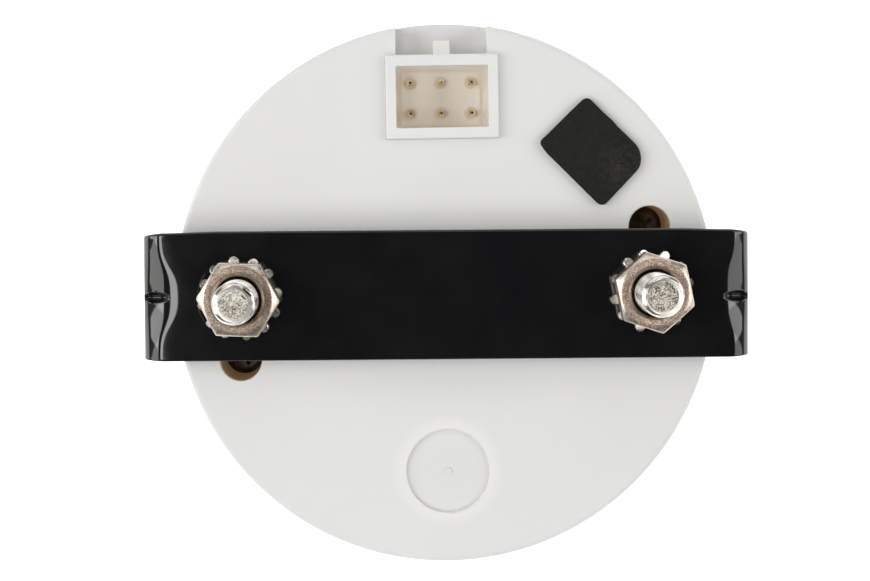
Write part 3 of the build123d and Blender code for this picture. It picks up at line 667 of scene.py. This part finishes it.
def make_bracket():
    """U-shaped strip: each bend is wider in the middle, where a pressed dart stiffens it."""
    parts = (("web", WEB_STEPS), ("bend", BEND_STEPS), ("leg", LEG_STEPS))
    stations = [(-1, part, 1 - i / steps) for part, steps in parts[::-1] for i in range(steps)]
    stations += [(1, part, i / steps) for part, steps in parts for i in range(steps)]
    stations.append((1, "leg", 1.0))
    shares = across_shares()
    rows = [strip_row(side, part, share, shares) for side, part, share in stations]
    rows.insert(0, leg_tip(rows[0]))
    rows.append(leg_tip(rows[-1]))
    turn = Matrix.Rotation(STRIP_TURN, 3, "Z")
    points, faces = skin([[turn @ p for p in row] for row in rows])
    strip = add_piece("bracket_strip", points, faces, "black_paint", "bracket", ("clamp_bracket",),
                      STRIP_SHARP)
    for side in (-1, 1):
        cut_stud_hole(strip, side)
    build = bmesh.new()
    build.from_mesh(strip.data)
    mark_sharp(build, STRIP_SHARP)
    build.to_mesh(strip.data)
    build.free()


# ---------------------------------------------------------------- studs, washers, nuts
PITCH = 0.7 * MM
THREAD_DEPTH = 0.40 * MM
STEPS_PER_TURN = 10
SAWN = 0.035 * MM                 # unevenness of a stud's sawn end


def make_stud(side):
    """M4 stud: a rolled thread down to the bracket, a wide chamfer and a sawn end."""
    name = "stud_left" if side < 0 else "stud_right"
    low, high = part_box(name)
    head_radius = (high.x - low.x) / 2
    major = 1.985 * MM
    end_radius = 1.30 * MM
    around = 72
    x = side * stud_x
    head_top = low.z + 3.0 * MM
    thread_from = web_bottom_z - 0.6 * MM

    def ring(z, radii):
        return [(x + r * cos(2 * pi * k / around), r * sin(2 * pi * k / around), z)
                for k, r in enumerate(radii)]

    def thread_radius(z, turn):
        """Radius at a height, at a share of a turn round the stud."""
        wave = abs(2 * ((z / PITCH - turn) % 1.0) - 1)
        cut = THREAD_DEPTH * (1 - ease(wave, 0.12, 0.88))
        cut *= ease(z, thread_from, thread_from + PITCH)
        chamfer = end_radius + max(high.z - z, 0)
        return min(major - cut, chamfer)

    profile = [(low.z, head_radius - 0.3 * MM), (low.z + 0.3 * MM, head_radius),
               (head_top - 0.1 * MM, head_radius), (head_top, head_radius - 0.1 * MM),
               (head_top, major), (thread_from - PITCH, major)]
    rows = [ring(z, [radius] * around) for z, radius in profile]
    steps = int((high.z - thread_from) / PITCH * STEPS_PER_TURN)
    for i in range(steps + 1):
        z = thread_from + (high.z - thread_from) * i / steps
        rows.append(ring(z, [thread_radius(z, k / around) for k in range(around)]))
    # the sawn end: slightly uneven rings
    for share in (0.8, 0.6, 0.4, 0.2):
        row = []
        radius = end_radius * share
        for k in range(around):
            angle = 2 * pi * k / around
            px, py = x + radius * cos(angle), radius * sin(angle)
            rough = noise.noise(Vector((px, py, side)) * 2600) * SAWN
            row.append((px, py, high.z - 0.04 * MM + rough))
        rows.append(row)
    points, faces = skin(rows)
    add_piece("stud_thread_" + name[5:], points, faces, "nickel_stud", body_of(name),
              (name,), 60)


def make_nut(side, first_corner):
    """Hexagon nut with chamfered corners and a wide countersink."""
    name = "nut_left" if side < 0 else "nut_right"
    low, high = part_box(name)
    x = side * stud_x
    apothem = 3.42 * MM
    chamfer_radius = 3.17 * MM
    slope = tan(radians(30))
    bore = 2.05 * MM
    sink = 2.58 * MM
    edge = 0.09 * MM
    crisp = 90                    # the higher, the sharper the six corners
    around = 180
    top, bottom = high.z, low.z

    def hexagon(angle):
        """Distance to the flats, with the corners a little rounded."""
        flats = [first_corner + pi / 6 + i * pi / 3 for i in range(6)]
        total = sum(pow(max(cos(angle - flat), 0.0), crisp) for flat in flats)
        return apothem / pow(total, 1 / crisp)

    rows = []
    for k in range(around):
        angle = 2 * pi * k / around
        reach = hexagon(angle)
        drop = max(reach - chamfer_radius, 0) * slope
        profile = [
            (bore, bottom + 0.40 * MM), (sink - 0.04 * MM, bottom + 0.03 * MM),
            (sink + 0.05 * MM, bottom), (chamfer_radius - 0.05 * MM, bottom),
            (chamfer_radius + 0.03 * MM, bottom + 0.02 * MM),
            (reach - edge, bottom + max(drop - edge * slope, 0.03 * MM)),
            (reach - edge * 0.3, bottom + drop + edge * 0.25), (reach, bottom + drop + edge),
            (reach, top - drop - edge), (reach - edge * 0.3, top - drop - edge * 0.25),
            (reach - edge, top - max(drop - edge * slope, 0.03 * MM)),
            (chamfer_radius + 0.03 * MM, top - 0.02 * MM), (chamfer_radius - 0.04 * MM, top),
            (2.95 * MM, top), (2.78 * MM, top), (sink + 0.04 * MM, top),
            (sink - 0.03 * MM, top - 0.025 * MM), (2.40 * MM, top - 0.13 * MM),
            (2.22 * MM, top - 0.25 * MM), (bore + 0.03 * MM, top - 0.36 * MM),
            (bore, top - 0.44 * MM), (bore, top - 1.2 * MM),
        ]
        rows.append([(x + r * cos(angle), r * sin(angle), z) for r, z in profile])
    points, faces = skin(rows, round_ends=True)
    add_piece("hex_nut_" + name[4:], points, faces, "nickel_nut", body_of(name),
              (name,), 60)


def make_washer(side, first_tooth):
    """Stamped external-tooth lock washer: a thin ring and twisted teeth with round ends."""
    name = "lock_washer_left" if side < 0 else "lock_washer_right"
    low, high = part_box(name)
    x = side * stud_x
    mid = (low.z + high.z) / 2
    sheet = 0.22 * MM             # half the sheet's thickness
    ring_out, ring_in = 3.34 * MM, 2.17 * MM
    root = 3.0 * MM
    tip = (high.x - low.x) / 2 - 0.02 * MM
    head = 0.48 * MM              # half a tooth's width, and its end's radius
    edge = 0.05 * MM
    teeth = 12
    around = 96
    profile = [(ring_in, -sheet + edge), (ring_in + edge, -sheet), (ring_out - edge, -sheet),
               (ring_out, -sheet + edge), (ring_out, sheet - edge), (ring_out - edge, sheet),
               (ring_in + edge, sheet), (ring_in, sheet - edge)]
    rows = [[(x + r * cos(a), r * sin(a), mid + z) for r, z in profile]
            for a in (2 * pi * k / around for k in range(around))]
    points, faces = skin(rows, round_ends=True)
    up = Vector((0, 0, 1))
    straight = tip - head
    stations = [(root + (straight - root) * j / 6, head) for j in range(7)]
    stations += [(straight + head * sin(t), head * cos(t))
                 for t in (pi / 2 * j / 8 for j in range(1, 9))]
    for i in range(teeth):
        angle = radians(first_tooth) + i * 2 * pi / teeth + 0.03 * sin(i * 2.3 + side)
        twist_full = radians(17 + 2 * sin(i * 1.7 + side))
        along = Vector((cos(angle), sin(angle), 0))
        across = Vector((-sin(angle), cos(angle), 0))
        rows = []
        for reach, half in stations:
            half = max(half, edge)
            twist = twist_full * ease(reach, 3.05 * MM, 3.4 * MM)
            flat = across * cos(twist) + up * sin(twist)
            lift = up * cos(twist) - across * sin(twist)
            shrink = min(edge, half * 0.4)
            outline = [(half - shrink, -sheet), (half, -sheet + shrink), (half, sheet - shrink),
                       (half - shrink, sheet), (-half + shrink, sheet), (-half, sheet - shrink),
                       (-half, -sheet + shrink), (-half + shrink, -sheet)]
            middle = Vector((x, 0, mid)) + along * reach
            rows.append([middle + flat * w + lift * t for w, t in outline])
        more, more_faces = skin(rows, start=len(points))
        points += more
        faces += more_faces
    add_piece("tooth_washer_" + name[12:], points, faces, "nickel_washer", "bracket",
              (name,), 25)


# ---------------------------------------------------------------- rubber patch
def make_patch():
    """A patch cut by hand from rubber sheet, pressed on: a slightly wavy outline and face."""
    low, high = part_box("rubber_patch")
    middle = (low + high) / 2
    outline = [                   # in mm, from the patch's middle
        (-4.79, 0.76), (-4.84, 1.02), (-4.66, 1.32), (-4.45, 1.44), (-3.01, 2.82),
        (-1.8, 3.98), (-0.67, 5.03), (-0.38, 5.17), (-0.15, 5.15), (0.09, 4.97), (0.8, 4.24),
        (1.61, 3.42), (2.17, 2.92), (2.55, 2.44), (3.4, 1.6), (4.35, 0.64), (4.68, 0.11),
        (4.84, -0.66), (4.76, -1.33), (4.51, -1.8), (3.6, -2.75), (2.5, -3.88), (1.49, -4.92),
        (1.24, -5.12), (0.99, -5.16), (0.62, -5.0), (-0.6, -3.76), (-1.9, -2.42),
        (-3.1, -1.2), (-4.3, 0.02)]
    count = 180
    curve = []
    lengths = [0.0]
    for i in range(len(outline)):
        a, b = Vector(outline[i]), Vector(outline[(i + 1) % len(outline)])
        lengths.append(lengths[-1] + (b - a).length)
    for k in range(count):
        along = lengths[-1] * k / count
        i = max(j for j in range(len(outline)) if lengths[j] <= along)
        a, b = Vector(outline[i]), Vector(outline[(i + 1) % len(outline)])
        curve.append(a + (b - a) * ((along - lengths[i]) / (lengths[i + 1] - lengths[i])))
    for _ in range(2):
        curve = [(curve[k - 1] + curve[k] * 2 + curve[(k + 1) % count]) / 4 for k in range(count)]
    thick = high.z - low.z
    sink = 0.06 * MM              # room for the waves under the CAD patch's top
    # how far in from the outline, in mm, and how high, as a share of the thickness
    layers = [(0.0, 0.02), (0.0, 0.12), (0.0, 0.80), (0.05, 0.93), (0.16, 1.0)]
    layers += [(inset, 1.0) for inset in (0.4, 0.8, 1.3, 1.9, 2.5)]
    rows = []
    for inset, height in layers:
        row = []
        for k in range(count):
            p = curve[k]
            ahead = (curve[(k + 3) % count] - curve[k - 3]).normalized()
            inward = Vector((-ahead.y, ahead.x))
            if inward.dot(-p) < 0:
                inward = -inward
            q = p * max(1 - inset / 4.2, 0.0) if inset > 0.2 else p + inward * inset
            wave = noise.noise(Vector((q.x * 0.55, q.y * 0.55, 4.0))) * 0.05
            level = height * thick - (sink if height == 1.0 else 0) + wave * MM * height
            row.append((middle.x + q.x * MM, middle.y + q.y * MM, low.z + level))
        rows.append(row)
    points, faces = skin(rows)
    add_piece("patch_sheet", points, faces, "patch_rubber", "case", ("rubber_patch",), 60)


# ---------------------------------------------------------------- display and keys
def prisms(outlines, low_z, high_z):
    """Flat plates with straight sides; each outline is a list of (x, y) in metres."""
    points, faces = [], []
    for outline in outlines:
        start, count = len(points), len(outline)
        points += [(x, y, low_z) for x, y in outline] + [(x, y, high_z) for x, y in outline]
        faces.append(tuple(start + k for k in range(count)))
        faces.append(tuple(start + count + k for k in range(count))[::-1])
        for k in range(count):
            m = (k + 1) % count
            faces.append((start + k, start + count + k, start + count + m, start + m))
    return points, faces


def display_bar(u, v, long, wide, upright=False):
    """A pointed display bar; u runs to the viewer's right, which is -X."""
    half, tip = long / 2 - wide / 2, wide / 2
    outline = [(-half - tip, 0), (-half, -tip), (half, -tip),
               (half + tip, 0), (half, tip), (-half, tip)]
    if upright:
        outline = [(-b, a) for a, b in outline]
    return [(-(u + a) * MM, window_y + (v + b) * MM) for a, b in outline]


def make_display():
    """Three digits, a point and a battery symbol, as dark bars on the glass; sizes in mm."""
    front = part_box("lcd_front_glass")[0].z
    bars_of = {"1": "bc", "2": "abged", "8": "abcdefg"}
    tall, broad, wide, gap = 3.2, 3.4, 0.62, 0.16
    line_y = -1.6
    spots = {"a": (0, tall, False), "g": (0, 0, False), "d": (0, -tall, False),
             "b": (broad / 2, tall / 2, True), "c": (broad / 2, -tall / 2, True),
             "f": (-broad / 2, tall / 2, True), "e": (-broad / 2, -tall / 2, True)}
    outlines = []
    for digit, middle in (("1", -7.0), ("2", -1.9), ("8", 4.4)):
        for bar in bars_of[digit]:
            du, dv, upright = spots[bar]
            long = (tall if upright else broad) - gap
            outlines.append(display_bar(middle + du, dv + line_y, long, wide, upright))
    outlines.append(display_bar(1.3, line_y - tall, 0.7, 0.66))
    symbol_x, symbol_y, thin = 8.6, 4.2, 0.24
    for level in (-0.85, 0.85):
        outlines.append(display_bar(symbol_x, symbol_y + level, 4.2, thin))
    for side in (-2.1, 2.1):
        outlines.append(display_bar(symbol_x + side, symbol_y, 1.7, thin, True))
    for cell in (-1.3, -0.4, 0.5):
        outlines.append(display_bar(symbol_x + cell, symbol_y, 1.2, 0.6, True))
    points, faces = prisms(outlines, front - 0.03 * MM, front)
    add_piece("display_bars", points, faces, "mask_print", "case")


def make_key_marks():
    """Arrow moulded into each key in white: up on one, down on the other."""
    for name, way in (("key_left", 1), ("key_right", -1)):
        middle = span(name)[0]
        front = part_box(name)[0].z
        outline = [(-0.75, -0.5), (0.75, -0.5), (0.14, 0.62), (0.0, 0.68), (-0.14, 0.62)]
        outline = [(middle.x + a * MM, middle.y + way * b * MM) for a, b in outline]
        points, faces = prisms([outline], front - 0.04 * MM, front + 0.02 * MM)
        add_piece("arrow_" + name, points, faces, "white_moulding", body_of(name))


make_display()
make_key_marks()
make_bracket()
for side, corner_angle, tooth in ((-1, -3, 9), (1, 41, 10.8)):
    make_stud(side)
    make_nut(side, radians(corner_angle))
    make_washer(side, tooth)
make_patch()


# ---------------------------------------------------------------- floor, light and camera
def make_floor():
    bpy.ops.mesh.primitive_plane_add(size=6.0, location=(0, 0, 0))
    floor = bpy.context.object
    floor.name = "studio_floor"
    n = Nodes("studio_paper")
    tone = n.ramp(n.noise(3, 3), (0.3, (0.90, 0.90, 0.90)), (0.7, (0.93, 0.93, 0.93)))
    floor.data.materials.append(n.finish(tone, 0.9, Emission_Color=(1, 1, 1, 1),
                                         Emission_Strength=0.9))


SKY_STRENGTH = 0.45


def make_sky():
    """Pale studio walls all round, and a dark ceiling above the camera."""
    world = bpy.data.worlds.new("studio")
    bpy.context.scene.world = world
    world.use_nodes = True
    tree = world.node_tree
    place = tree.nodes.new("ShaderNodeTexCoord")
    split = tree.nodes.new("ShaderNodeSeparateXYZ")
    ramp = tree.nodes.new("ShaderNodeValToRGB")
    tree.links.new(place.outputs["Generated"], split.inputs[0])
    tree.links.new(split.outputs["Z"], ramp.inputs["Fac"])
    stops = [(0.0, 0.40), (0.35, 0.42), (0.75, 0.30), (0.93, 0.03)]
    elements = ramp.color_ramp.elements
    while len(elements) < len(stops):
        elements.new(0.5)
    for element, (position, grey) in zip(elements, stops):
        element.position = position
        element.color = (grey, grey, grey, 1)
    background = tree.nodes["Background"]
    tree.links.new(ramp.outputs["Color"], background.inputs["Color"])
    background.inputs["Strength"].default_value = SKY_STRENGTH


LIGHT_AWAY = 0.8                  # metres from the gauge's back
LONG_BOX, PANEL, SMALL_BOX = (0.9, 0.35), (0.3, 0.66), (0.3, 0.16)
WARM = (1.0, 0.988, 0.96)
FRONT_SHARE = 0.65                # of a rear panel's power, for the panel in front of it


def soft_light(name, toward, size, power, tint=(1, 1, 1)):
    """An oblong soft box that faces the gauge from that direction."""
    data = bpy.data.lights.new(name, "AREA")
    data.shape = "RECTANGLE"
    data.size, data.size_y = size
    data.energy = power
    data.color = tint
    light = bpy.data.objects.new(name, data)
    bpy.context.scene.collection.objects.link(light)
    direction = Vector(toward).normalized()
    light.location = Vector((0, 0, back_z)) + direction * LIGHT_AWAY
    light.rotation_euler = direction.to_track_quat("Z", "Y").to_euler()
    light.visible_camera = False
    return light


LENS = 112.44                     # mm, on a 36 mm wide sensor
EYE, TARGET = Vector((-5.23, 12.02, 261.46)), Vector((-0.99, 0.28, 0))   # mm, from the back
ROLL = 0.0168                     # radians


def make_camera():
    """Above the gauge's back, a little up towards the header, and nearly square to it."""
    data = bpy.data.cameras.new("camera")
    data.sensor_width = 36
    data.lens = LENS
    data.clip_start = 0.01
    camera = bpy.data.objects.new("camera", data)
    bpy.context.scene.collection.objects.link(camera)
    back = Vector((0, 0, back_z))
    eye, target = back + EYE * MM, back + TARGET * MM
    forward = (target - eye).normalized()
    side = forward.cross(Vector((sin(ROLL), cos(ROLL), 0))).normalized()
    up = side.cross(forward)
    turn = Matrix((side, up, -forward)).transposed()
    camera.matrix_world = Matrix.Translation(eye) @ turn.to_4x4()
    bpy.context.scene.camera = camera


make_floor()
make_sky()
soft_light("key_front", (0, -1, 1.4), LONG_BOX, 1.9).visible_glossy = False
soft_light("fill_rear", (0, 1, 0.75), LONG_BOX, 1.0)
# two panels on each side, with a slit between them that darkens the metal below each dart
for side_name, x, power in (("left", -1, 2.5), ("right", 1, 1.9)):
    panel = "panel_" + side_name
    soft_light(panel + "_rear", (x, 0.235, 0.75), PANEL, power, WARM)
    soft_light(panel + "_front", (x, -0.26, 0.75), PANEL, power * FRONT_SHARE, WARM)
soft_light("strip_left", (-0.255, 0, 1), SMALL_BOX, 0.85, WARM)
make_camera()
bpy.context.scene.view_settings.view_transform = "Standard"
